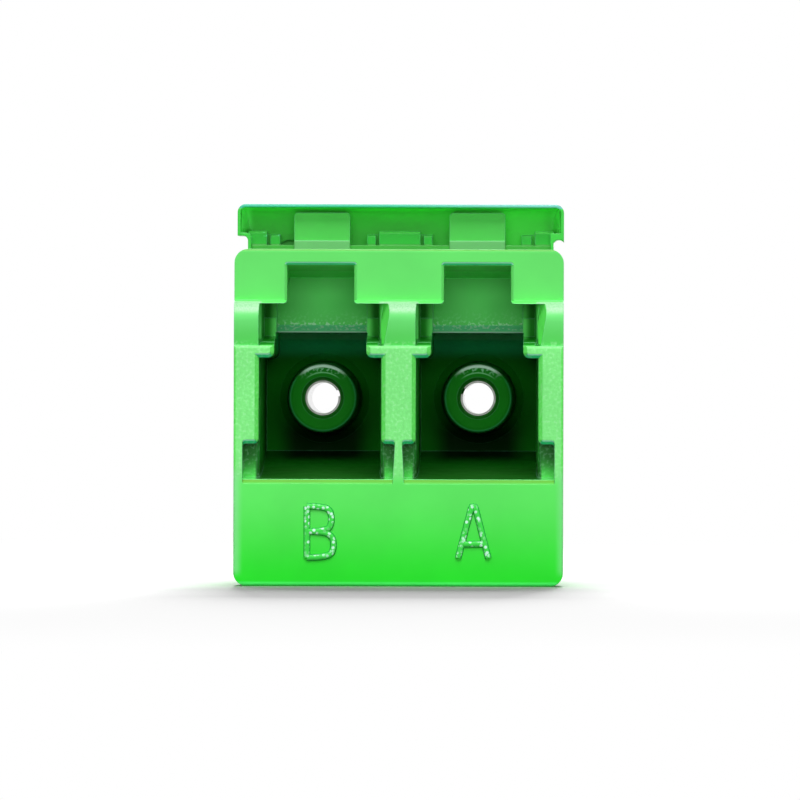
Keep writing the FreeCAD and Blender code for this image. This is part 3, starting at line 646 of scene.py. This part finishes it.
@dataclass
class RaisedLetter:
    """A port letter that stands proud of the lettered band.

    Lengths are in metres. The letter's middle lies at centre, on the face.
    """

    letter: Letter
    centre: Vector
    width: float
    height: float
    line: float = 0.27 * MM
    rise: float = 0.09 * MM
    unevenness: float = 0.016 * MM
    unevenness_scale: float = 6.0 / MM
    profile_points: int = 16
    spline_order: int = 3
    spline_steps: int = 8
    steps_per_line: int = 4
    seed: float = 3.0

    def strokes(self) -> list[Stroke]:
        """The letter's lines.

        Returns:
            Its strokes, from 0 to 1 across and up.
        """
        if self.letter is Letter.A:
            return [
                Stroke([(0.0, 0.0), (0.44, 1.0), (0.56, 1.0), (1.0, 0.0)]),
                Stroke([(0.14, 0.27), (0.86, 0.27)]),
            ]
        return [
            Stroke([(0.0, 0.0), (0.0, 1.0)]),
            Stroke([
                (0.0, 1.0), (0.5, 1.0), (0.92, 0.93), (0.92, 0.58), (0.5, 0.51), (0.0, 0.51),
            ], rounded=True),
            Stroke([
                (0.0, 0.51), (0.55, 0.51), (1.0, 0.42), (1.0, 0.08), (0.55, 0.0), (0.0, 0.0),
            ], rounded=True),
        ]

    def build(self, finish: bpy.types.Material) -> bpy.types.Object:
        """Makes the letter's mesh.

        Args:
            finish: Its material.

        Returns:
            The finished piece.
        """
        paths = self._paths()
        tree = self._ridge_tree(finish)
        modifier = paths.modifiers.new("ridge", "NODES")
        modifier.node_group = tree
        self._set_inputs(modifier)
        graph = bpy.context.evaluated_depsgraph_get()
        mesh = bpy.data.meshes.new_from_object(paths.evaluated_get(graph))
        bpy.data.objects.remove(paths)
        mesh.name = f"letter_{self.letter.value}"
        piece = bpy.data.objects.new(mesh.name, mesh)
        bpy.context.scene.collection.objects.link(piece)
        return piece

    def _paths(self) -> bpy.types.Object:
        """Draws the strokes as curves on the face.

        Returns:
            The curves' object.
        """
        curve = bpy.data.curves.new("letter_paths", "CURVE")
        curve.dimensions = "3D"
        inset = self.line / 2
        across = self.width - 2 * inset
        up = self.height - 2 * inset
        corner = self.centre - Vector((across / 2, 0.0, up / 2))
        for stroke in self.strokes():
            spline = curve.splines.new("NURBS" if stroke.rounded else "POLY")
            spline.points.add(len(stroke.points) - 1)
            for point, (a, b) in zip(spline.points, stroke.points):
                point.co = (*(corner + Vector((a * across, 0.0, b * up))), 1.0)
            if stroke.rounded:
                spline.order_u = self.spline_order
                spline.use_endpoint_u = True
                spline.resolution_u = self.spline_steps
        made = bpy.data.objects.new("letter_paths", curve)
        bpy.context.scene.collection.objects.link(made)
        return made

    def _ridge_tree(self, finish: bpy.types.Material) -> bpy.types.NodeTree:
        """Builds the nodes that sweep a rounded ridge along each stroke.

        Args:
            finish: The ridge's material.

        Returns:
            The node tree.
        """
        tree = bpy.data.node_groups.new("raised_ridge", "GeometryNodeTree")
        face = tree.interface
        face.new_socket("Geometry", in_out="INPUT", socket_type="NodeSocketGeometry")
        for name in ("Line", "Rise", "Step", "Unevenness", "Seed"):
            face.new_socket(name, in_out="INPUT", socket_type="NodeSocketFloat")
        face.new_socket("Geometry", in_out="OUTPUT", socket_type="NodeSocketGeometry")
        board = Board(tree)
        given = board.put("NodeGroupInput").outputs
        even = board.put("GeometryNodeResampleCurve", {
            "Curve": given["Geometry"], "Length": given["Step"],
        }, mode="LENGTH")
        profile = board.put("GeometryNodeCurvePrimitiveCircle", {
            "Resolution": self.profile_points, "Radius": 1.0,
        })
        flat = board.put("GeometryNodeTransform", {
            "Geometry": profile.outputs[0],
            "Scale": board.put("ShaderNodeCombineXYZ", {
                "X": given["Rise"], "Y": board.maths("MULTIPLY", given["Line"], 0.5), "Z": 1.0,
            }).outputs[0],
        })
        level = board.put("GeometryNodeSetCurveNormal", {"Curve": even.outputs[0]}, mode="FREE")
        level.inputs["Normal"].default_value = (0.0, -1.0, 0.0)
        swept = board.put("GeometryNodeCurveToMesh", {
            "Curve": level.outputs[0], "Profile Curve": flat.outputs[0], "Fill Caps": True,
        })
        where = board.put("GeometryNodeInputPosition").outputs[0]
        noise = board.put("ShaderNodeTexNoise", {
            "Vector": where, "W": given["Seed"], "Scale": self.unevenness_scale, "Detail": 1.0,
        }, noise_dimensions="4D")
        centred = board.maths("SUBTRACT", noise.outputs[0], 0.5)
        push = board.maths("MULTIPLY", centred, given["Unevenness"])
        outwards = board.put("GeometryNodeInputNormal").outputs[0]
        offset = board.put("ShaderNodeVectorMath", {0: outwards, "Scale": push}, operation="SCALE")
        uneven = board.put("GeometryNodeSetPosition", {
            "Geometry": swept.outputs[0], "Offset": offset.outputs[0],
        })
        smooth = board.put("GeometryNodeSetShadeSmooth", {"Geometry": uneven.outputs[0]})
        real = board.put("GeometryNodeRealizeInstances", {"Geometry": smooth.outputs[0]})
        dressed = board.put("GeometryNodeSetMaterial", {
            "Geometry": real.outputs[0], "Material": finish,
        })
        board.put("NodeGroupOutput", {0: dressed.outputs[0]})
        return tree

    def _set_inputs(self, modifier: bpy.types.Modifier) -> None:
        """Gives the ridge's sizes to its modifier, by the sockets' identifiers.

        Args:
            modifier: The modifier with the ridge's tree.
        """
        sizes = {
            "Line": self.line, "Rise": self.rise, "Step": self.line / self.steps_per_line,
            "Unevenness": self.unevenness, "Seed": self.seed,
        }
        for item in modifier.node_group.interface.items_tree:
            if item.in_out == "INPUT" and item.name in sizes:
                modifier[item.identifier] = sizes[item.name]


def mm(low: float = -1000.0, high: float = 1000.0, rise: float = 0.1, fall: float = 0.1) -> Span:
    """Span whose ends and soft stretches are given in millimetres."""
    return Span(low * MM, high * MM, rise * MM, fall * MM)


# spans that several tones share: across from the fibre axis, behind the end face, over the base
OUTER_SKIN = mm(high=0.16)
FRONT_SKIN = mm(high=0.3)
BAND_HEIGHT = mm(0.3, 4.9, 0.4, 0.6)
POST_SIDE = mm(2.3)
SET_BACK = mm(0.1, 0.8, 0.05, 0.3)
CHANNEL = mm(high=2.6)
CHANNEL_HEIGHT = mm(4.1, 9.9)
FOOT_RECESS = mm(2.35, 3.2)
RECESS_DEPTH = mm(0.2, rise=0.3)
LATCH_WALL = mm(high=1.9)
LATCH_HOLLOW = mm(3.0, 6.0)
LATCH_FOOT = mm(4.4, 6.0)
NOSE = mm(6.8, 7.3, fall=0.05)
HOOD_INSIDE = mm(-6.5, 6.5, 0.04, 0.04)
HOOD_HOLLOW = mm(7.2, 9.6, 0.2)
HOOD_HOLLOW_HEIGHT = mm(13.5, 15.24, fall=0.05)
HOOD_RIM = mm(6.2, 7.0)
HOOD_RIM_HEIGHT = mm(15.1, 16, 0.05)
HOOD_SIDE_RIM = mm(6.2, 6.85)
HOOD_SIDE_RIM_HEIGHT = mm(13.3, 15.15)
HOOD_WALL = mm(6.7, 9.6)
HOOD_WALL_HEIGHT = mm(14.25, 15.24, fall=0.05)

FACE_TONES = (
    # painted shade on the upper face, and posts beside the ports with the ledges on them made paler
    # by a painted sheen on their sparked surface
    Tone((0.125, 0.71, 0.135), depth=mm(0.3, 1.25), height=mm(11.36, 13.7),
         facing=Facing.FRONTWARD),
    Tone((0.21, 0.82, 0.22), depth=OUTER_SKIN, height=mm(4.0, 9.75, 0.6)),
    # posts set back above the ledges, with painted shade that darkens them towards the ledge
    Tone((0.15, 0.72, 0.18), across=POST_SIDE, depth=SET_BACK, height=mm(9.5, 11.42, 0.05, 0.06),
         facing=Facing.FRONTWARD),
    Tone((0.085, 0.57, 0.095), across=POST_SIDE, depth=SET_BACK, height=mm(9.5, 11.0, 0.05, 1.2),
         facing=Facing.FRONTWARD),
    # painted highlight: a pale, streaked band where they turn in to the upper face
    Tone((0.26, 0.57, 0.28), amount=0.9, across=POST_SIDE, depth=mm(high=0.8),
         height=mm(10.75, 11.42, 0.35, 0.06), facing=Facing.FRONTWARD),
    Tone((0.6, 0.86, 0.64), amount=0.3, across=POST_SIDE, depth=mm(high=0.8),
         height=mm(10.8, 11.42, 0.3, 0.06), facing=Facing.FRONTWARD, streaked=True),
)

PORT_TONES = (
    # painted shade in the plug channels, on the floor inside their mouths and in the foot recesses
    Tone((0.01, 0.27, 0.012), across=CHANNEL, depth=mm(0.16, rise=0.4), height=CHANNEL_HEIGHT),
    Tone((0.006, 0.2, 0.007), across=CHANNEL, depth=mm(7.2, rise=4.0), height=CHANNEL_HEIGHT,
         dullness=0.35),
    # painted shadow under the sleeve holders
    Tone((0.001, 0.03, 0.001), across=mm(high=2.1, fall=1.0), depth=mm(7.2, rise=2.0),
         height=mm(4.9, 7.0, 0.3, 1.0)),
    # painted shade on the nose faces of the sleeve holders
    Tone((0.008, 0.23, 0.01), depth=mm(6.7, 7.1, fall=0.05), radius=mm(high=1.5), dullness=0.35),
    Tone((0.008, 0.1, 0.006), across=CHANNEL, depth=mm(0.16, 9.0, fall=6.0),
         height=mm(4.1, 5.2, fall=0.4)),
    # painted teal haze high in the channels, behind the latch hollow
    Tone((0.03, 0.85, 0.3), amount=0.9, across=CHANNEL, depth=mm(5.2), height=mm(9.0, 10.3, 0.9)),
    Tone((0.008, 0.165, 0.013), across=FOOT_RECESS, depth=RECESS_DEPTH, height=mm(4.1, 6.2, 1.2)),
    # painted glints in the foot recesses
    Tone((0.4, 0.9, 0.5), amount=0.16, across=FOOT_RECESS, depth=RECESS_DEPTH, height=mm(4.1, 6.2),
         speckled=True),
    # painted shade at the ends of the cross slot
    Tone((0.009, 0.26, 0.011), across=mm(1.85, 2.6, 0.3), depth=mm(1.2, rise=0.5),
         height=mm(9.5, 11.5), dullness=0.2),
)

LATCH_TONES = (
    # back wall of the latch hollow in a painted hazy tone, lighter at its top, and painted
    # highlights and glints along its foot
    Tone((0.105, 0.7, 0.13), across=LATCH_WALL, depth=LATCH_HOLLOW, height=mm(9.9, 12.9)),
    Tone((0.14, 1.0, 0.18), across=LATCH_WALL, depth=LATCH_HOLLOW, height=mm(12.28, 12.95, 0.04)),
    Tone((0.4, 0.98, 0.5), amount=0.25, across=LATCH_WALL, depth=LATCH_FOOT,
         height=mm(10.2, 11.2, fall=0.8), speckled=True),
    Tone((0.17, 0.86, 0.4), amount=0.85, across=LATCH_WALL, depth=LATCH_FOOT,
         height=mm(10.15, 10.45, 0.05, 0.05), over_edges=True),
    Tone((0.75, 1.0, 0.95), amount=0.9, across=LATCH_WALL, depth=LATCH_FOOT,
         height=mm(10.02, 10.2, 0.05, 0.06), over_edges=True),
    Tone((0.1, 0.9, 0.36), amount=0.85, across=LATCH_WALL, depth=LATCH_FOOT,
         height=mm(9.9, 10.15, 0.05, 0.05), over_edges=True),
    Tone((0.6, 1.0, 0.72), amount=0.6, across=LATCH_WALL, depth=LATCH_FOOT,
         height=mm(10.2, 10.6, 0.05, 0.15), speckled=True, over_edges=True),
)

NOSE_TONES = (
    # painted highlight arcs on the nose of the sleeve holders
    Tone((0.45, 0.95, 0.6), amount=0.55, depth=NOSE, height=mm(8.2, 9.2, 0.5),
         radius=mm(1.0, 1.34, 0.12, 0.06), speckled=True, over_edges=True),
    Tone((0.72, 1.0, 0.84), depth=NOSE, height=mm(8.35, 9.2, 0.35),
         radius=mm(1.2, 1.38, 0.06, 0.06), over_edges=True),
    Tone((0.3, 0.85, 0.4), amount=0.6, depth=NOSE, height=mm(8.2, 9.2, 0.3),
         radius=mm(0.98, 1.06, 0.03, 0.03), over_edges=True),
    Tone((0.06, 0.55, 0.2), amount=0.4, depth=NOSE, height=mm(high=8.4, fall=0.3),
         radius=mm(1.26, 1.4, 0.05, 0.02), over_edges=True),
)

HOOD_TONES = (
    # painted shade in the hollow front of the hood, with painted light towards the right, and
    # painted shade on the teeth and plates under it
    Tone((0.115, 0.68, 0.115), depth=HOOD_HOLLOW, height=HOOD_HOLLOW_HEIGHT, side=HOOD_INSIDE),
    Tone((0.155, 0.88, 0.155), depth=HOOD_HOLLOW, height=HOOD_HOLLOW_HEIGHT,
         side=mm(1.0, 6.3, 3.5, 0.8)),
    Tone((0.085, 0.49, 0.09), depth=mm(6.85, 7.22), height=mm(13.3, 15.1), facing=Facing.FRONTWARD),
    Tone((0.04, 0.45, 0.055), depth=mm(7.18, 7.6, 0.04), height=mm(13.3, 14.2),
         facing=Facing.FRONTWARD),
    # painted shade on the front rims of the hood's sides
    Tone((0.05, 0.52, 0.06), amount=0.95, depth=HOOD_SIDE_RIM, height=HOOD_SIDE_RIM_HEIGHT,
         side=mm(high=-5.75), facing=Facing.FRONTWARD, over_edges=True),
    Tone((0.05, 0.52, 0.06), amount=0.95, depth=HOOD_SIDE_RIM, height=HOOD_SIDE_RIM_HEIGHT,
         side=mm(5.75), facing=Facing.FRONTWARD, over_edges=True),
    # painted light on the inner side walls of the hood
    Tone((0.22, 0.95, 0.24), depth=HOOD_WALL, height=HOOD_WALL_HEIGHT,
         side=mm(-6.5, -5.9, 0.04, 0.3), over_edges=True),
    Tone((0.16, 0.84, 0.17), depth=HOOD_WALL, height=HOOD_WALL_HEIGHT, side=mm(5.9, 6.5, 0.3, 0.04),
         over_edges=True),
    # painted glints on one plate
    Tone((0.25, 0.95, 0.6), amount=0.7, depth=mm(6.95, 7.6), height=mm(13.98, 14.2, 0.03, 0.03),
         side=mm(-5.6, -4.6), speckled=True, over_edges=True),
    # painted shade, olive and grey, low across the front of the plates
    Tone((0.06, 0.38, 0.055), depth=mm(6.95, 7.5), height=mm(13.42, 13.72, 0.04, 0.04),
         facing=Facing.FRONTWARD, over_edges=True),
    Tone((0.145, 0.43, 0.155), depth=mm(6.5, 7.0), height=mm(13.35, 13.84, 0.04, 0.04),
         facing=Facing.FRONTWARD, over_edges=True),
)

EDGE_TONES = (
    # painted highlights, and their tints, on the rim of the hood, the top edge of the upper face
    # and the edges of the port mouths
    Tone((0.05, 0.42, 0.36), amount=0.85, depth=HOOD_RIM, height=HOOD_RIM_HEIGHT,
         facing=Facing.FRONTWARD, over_edges=True),
    Tone((0.19, 0.54, 0.5), amount=0.85, depth=HOOD_RIM, height=HOOD_RIM_HEIGHT,
         side=mm(-1.0, rise=5.0), facing=Facing.FRONTWARD, over_edges=True),
    Tone((0.09, 0.44, 0.04), amount=0.9, depth=mm(0.9, 1.4), height=mm(13.25, 13.6, 0.08),
         facing=Facing.UP_BEVEL, over_edges=True),
    Tone((0.03, 0.7, 0.25), depth=mm(high=1.25), height=mm(4.5, 13.0), facing=Facing.DOWN_BEVEL,
         over_edges=True),
    Tone((0.42, 1.0, 0.74), depth=mm(0.9, 1.07, 0.05, 0.05), height=mm(10.0, 13.0),
         facing=Facing.DOWN_BEVEL, over_edges=True),
    Tone((0.42, 1.0, 0.74), depth=mm(high=0.07, fall=0.05), height=mm(4.5, 10.0),
         facing=Facing.DOWN_BEVEL, over_edges=True),
    Tone((0.12, 0.82, 0.11), amount=0.9, depth=mm(high=0.18, fall=0.04), height=mm(4.3, 9.8),
         facing=Facing.SIDE_BEVEL, over_edges=True),
    Tone((0.13, 0.98, 0.12), amount=0.9, across=POST_SIDE, depth=mm(0.18, 1.2),
         height=mm(9.6, 11.4), facing=Facing.SIDE_BEVEL, over_edges=True),
    Tone((0.095, 0.56, 0.055), amount=0.95, depth=FRONT_SKIN, height=mm(3.9, 4.4),
         facing=Facing.UP_BEVEL, over_edges=True),
    Tone((0.12, 0.44, 0.035), amount=0.95, depth=FRONT_SKIN, height=mm(4.12, 4.4, 0.04),
         facing=Facing.UP_BEVEL, over_edges=True),
    # painted highlight down the outer edges of the lettered band
    Tone((0.26, 0.78, 0.32), amount=0.6, depth=FRONT_SKIN, height=BAND_HEIGHT,
         side=mm(high=-6.15, fall=0.35), facing=Facing.FRONTWARD, over_edges=True),
    Tone((0.26, 0.78, 0.32), amount=0.5, depth=FRONT_SKIN, height=BAND_HEIGHT,
         side=mm(6.2, rise=0.35), facing=Facing.FRONTWARD, over_edges=True),
    # painted light on the lowest edge of the front
    Tone((0.08, 0.96, 0.16), amount=0.8, depth=mm(high=0.5), height=mm(high=0.22), over_edges=True),
)

# later tones lie over earlier ones
TONES = FACE_TONES + PORT_TONES + LATCH_TONES + NOSE_TONES + HOOD_TONES + EDGE_TONES


@dataclass
class Housings:
    """The two green mouldings, which keep the shape of the model."""

    front: str = "front_housing"
    rear: str = "rear_housing"
    front_finish: MouldedPlastic = MouldedPlastic(
        "housing_green", colour=(0.115, 0.81, 0.125), base_colour_under_painted_sheen=(0.018, 0.76, 0.022),
        painted_edge_highlight_colour=(0.30, 0.90, 0.50), tones=TONES, painted_sheen_height=4.2 * MM,
        sparked_from=4.3 * MM, sparked_to=9.8 * MM,
    )
    rear_finish: MouldedPlastic = MouldedPlastic(
        "rear_green", colour=(0.125, 0.79, 0.13), base_colour_under_painted_sheen=(0.05, 0.75, 0.055),
        painted_edge_highlight_colour=(0.36, 0.92, 0.70), tones=TONES, painted_sheen_height=4.2 * MM,
        sparked_from=4.3 * MM, sparked_to=11.3 * MM,
    )

    def dress(self, nodes: dict[str, bpy.types.Object]) -> None:
        """Gives both mouldings their plastic.

        Args:
            nodes: The model's nodes by name.
        """
        dress(nodes[self.front], self.front_finish.material())
        dress(nodes[self.rear], self.rear_finish.material())


@dataclass
class Sleeves:
    """The two split sleeves that line up the ferrules."""

    names: tuple[str, ...] = ("split_sleeve_a", "split_sleeve_b")
    finish: Zirconia = Zirconia()

    def dress(self, nodes: dict[str, bpy.types.Object]) -> None:
        """Gives both sleeves their ceramic.

        Args:
            nodes: The model's nodes by name.
        """
        material = self.finish.material()
        for name in self.names:
            dress(nodes[name], material)


@dataclass
class Lettering:
    """The letters on the band under the ports, each under its own port."""

    band_middle: float = 2.16 * MM
    height: float = 2.31 * MM
    widths: dict[Letter, float] = field(
        default_factory=lambda: {Letter.A: 1.47 * MM, Letter.B: 1.33 * MM},
    )
    places: dict[Letter, float] = field(
        default_factory=lambda: {Letter.A: 2.99 * MM, Letter.B: -3.10 * MM},
    )
    finish: LetterGloss = LetterGloss()

    def build(self, face: float) -> list[bpy.types.Object]:
        """Makes both letters and fixes them to the front moulding.

        Args:
            face: Y of the lettered face.

        Returns:
            The two pieces.
        """
        made = []
        finish = self.finish.material()
        for letter in Letter:
            centre = Vector((self.places[letter], face, self.band_middle))
            raised = RaisedLetter(letter, centre, self.widths[letter], self.height)
            piece = raised.build(finish)
            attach(piece, "root")
            made.append(piece)
        return made


@dataclass(frozen=True)
class SoftBox:
    """One rectangular lamp aimed at the object."""

    name: str
    place: Point3
    width: float
    depth: float
    power: float
    colour: Colour = (1.0, 1.0, 1.0)
    glossy: bool = True

    def build(self) -> bpy.types.Object:
        """Hangs the lamp.

        Returns:
            The lamp.
        """
        data = bpy.data.lights.new(self.name, "AREA")
        data.shape = "RECTANGLE"
        data.size = self.width
        data.size_y = self.depth
        data.energy = self.power
        data.color = self.colour
        lamp = bpy.data.objects.new(self.name, data)
        bpy.context.scene.collection.objects.link(lamp)
        lamp.location = self.place
        lamp.rotation_euler = (-Vector(self.place)).to_track_quat("-Z", "Y").to_euler()
        lamp.visible_glossy = self.glossy
        return lamp


@dataclass(frozen=True)
class WhiteFloor(Finish):
    """Plain floor that shows white, and darker only where the object shades it."""

    name: str = "floor_white"
    albedo: float = 0.45
    shown: float = 1.17
    keep: float = 30 * MM
    painted_sheen: float = 170 * MM

    def shader(self, board: Board) -> bpy.types.Node:
        """Adds the floor's nodes.

        Args:
            board: The tree to build in.

        Returns:
            The shader that mixes what is seen and what lights.
        """
        card = board.put("ShaderNodeBsdfDiffuse", {"Color": (*[self.albedo] * 3, 1.0)})
        painted_dot_glints = board.put("ShaderNodeBsdfDiffuse", {"Color": (*[self.shown] * 3, 1.0)})
        glow = board.put("ShaderNodeEmission", {"Strength": 1.0})
        away = board.put("ShaderNodeVectorMath", {0: board.place()}, operation="LENGTH")
        white = board.ramp(away.outputs["Value"], self.keep, self.painted_sheen)
        shaded = board.put("ShaderNodeMixShader", {
            0: white, 1: painted_dot_glints.outputs[0], 2: glow.outputs[0],
        })
        return board.put("ShaderNodeMixShader", {
            0: board.seen(), 1: card.outputs[0], 2: shaded.outputs[0],
        })


@dataclass
class Studio:
    """Pale floor, soft lamps and the camera in front of the lettered face."""

    aim: Point3 = (0.06 * MM, 0.0, 7.44 * MM)
    offset: float = 6.7 * MM
    distance: float = 600.0 * MM
    view_width: float = 31.83 * MM
    sensor: float = 36.0
    roll: float = math.radians(-0.16)
    clip_start: float = 10 * MM
    clip_end: float = 100.0
    floor_size: float = 6.0
    world_strength: float = 0.25
    floor: WhiteFloor = WhiteFloor()
    key: SoftBox = SoftBox("key", (0.0, -0.17, 0.30), width=0.24, depth=0.16, power=1.15)
    front: SoftBox = SoftBox(
        "front", (0.0, -0.39, 0.07), width=0.20, depth=0.10, power=0.45, glossy=False,
    )
    back_light: SoftBox = SoftBox(
        "back_light", (0.0, 0.29, 0.203), width=0.30, depth=0.16, power=0.8,
        colour=(0.85, 1.0, 1.0),
    )
    floor_low: SoftBox = SoftBox(
        "floor_low", (0.01, 0.918, 0.246), width=0.12, depth=0.26, power=17.4,
    )
    floor_high: SoftBox = SoftBox(
        "floor_high", (0.0, 0.769, 0.558), width=0.40, depth=0.39, power=4.0,
    )

    def build(self, face: float) -> None:
        """Sets up everything round the object.

        Args:
            face: Y of the lettered face.
        """
        bpy.context.scene.view_settings.view_transform = "Standard"
        self._camera(face)
        self._world()
        floor = self._floor()
        for lamp in (self.key, self.front, self.back_light):
            self._link(lamp.build(), floor, "EXCLUDE")
        for lamp in (self.floor_low, self.floor_high):
            self._link(lamp.build(), floor, "INCLUDE")

    def _camera(self, face: float) -> None:
        """Sets a level camera with a long lens, a little to the right of the middle.

        Args:
            face: Y of the lettered face.
        """
        data = bpy.data.cameras.new("camera")
        data.sensor_width = self.sensor
        data.lens = self.sensor * self.distance / self.view_width
        data.clip_start = self.clip_start
        data.clip_end = self.clip_end
        camera = bpy.data.objects.new("camera", data)
        bpy.context.scene.collection.objects.link(camera)
        target = Vector(self.aim) + Vector((0.0, face, 0.0))
        place = Vector((self.offset, face - self.distance, target.z))
        turned = (target - place).to_track_quat("-Z", "Y").to_matrix().to_4x4()
        tilt = Matrix.Rotation(self.roll, 4, "Y")
        camera.matrix_world = Matrix.Translation(place) @ tilt @ turned
        bpy.context.scene.camera = camera

    def _world(self) -> None:
        """Even light from all round, and plain white where the camera or a gloss looks past it."""
        world = bpy.data.worlds.new("studio")
        world.use_nodes = True
        bpy.context.scene.world = world
        board = Board(world.node_tree)
        around, white = (
            board.put("ShaderNodeBackground", {"Color": (1.0, 1.0, 1.0, 1.0), "Strength": strength})
            for strength in (self.world_strength, 1.0)
        )
        mixed = board.put("ShaderNodeMixShader", {
            0: board.seen(), 1: around.outputs[0], 2: white.outputs[0],
        })
        board.put("ShaderNodeOutputWorld", {"Surface": mixed.outputs[0]})

    @staticmethod
    def _link(lamp: bpy.types.Object, floor: bpy.types.Object, state: str) -> None:
        """Lets a lamp light all but the floor, or the floor alone.

        Args:
            lamp: The lamp.
            floor: The floor.
            state: EXCLUDE or INCLUDE.
        """
        linked = bpy.data.collections.new(f"{lamp.name}_floor")
        linked.objects.link(floor)
        linked.collection_objects[0].light_linking.link_state = state
        lamp.light_linking.receiver_collection = linked

    def _floor(self) -> bpy.types.Object:
        """Lays the floor.

        Returns:
            The floor.
        """
        half = self.floor_size / 2
        mesh = bpy.data.meshes.new("floor")
        square = [(-half, -half, 0), (half, -half, 0), (half, half, 0), (-half, half, 0)]
        mesh.from_pydata(square, [], [(0, 1, 2, 3)])
        floor = bpy.data.objects.new("floor", mesh)
        bpy.context.scene.collection.objects.link(floor)
        mesh.materials.append(self.floor.material())
        return floor


def dress(piece: bpy.types.Object, material: bpy.types.Material) -> None:
    """Puts one material in every slot of a piece.

    Args:
        piece: The piece to dress.
        material: Its finish.
    """
    if not piece.data.materials:
        piece.data.materials.append(material)
    for slot in piece.material_slots:
        slot.material = material


def main() -> None:
    """Dresses the model, adds the letters and lights the scene."""
    logging.basicConfig(level=logging.INFO, format="%(message)s")
    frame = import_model()
    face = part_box("front_housing")[0].y
    nodes = frame["nodes"]
    Housings().dress(nodes)
    Sleeves().dress(nodes)
    letters = Lettering().build(face)
    for piece in (*nodes.values(), *letters):
        LOG.info("%s: %d faces", piece.name, len(piece.data.polygons))
    Studio().build(face)


if __name__ == "__main__":
    main()
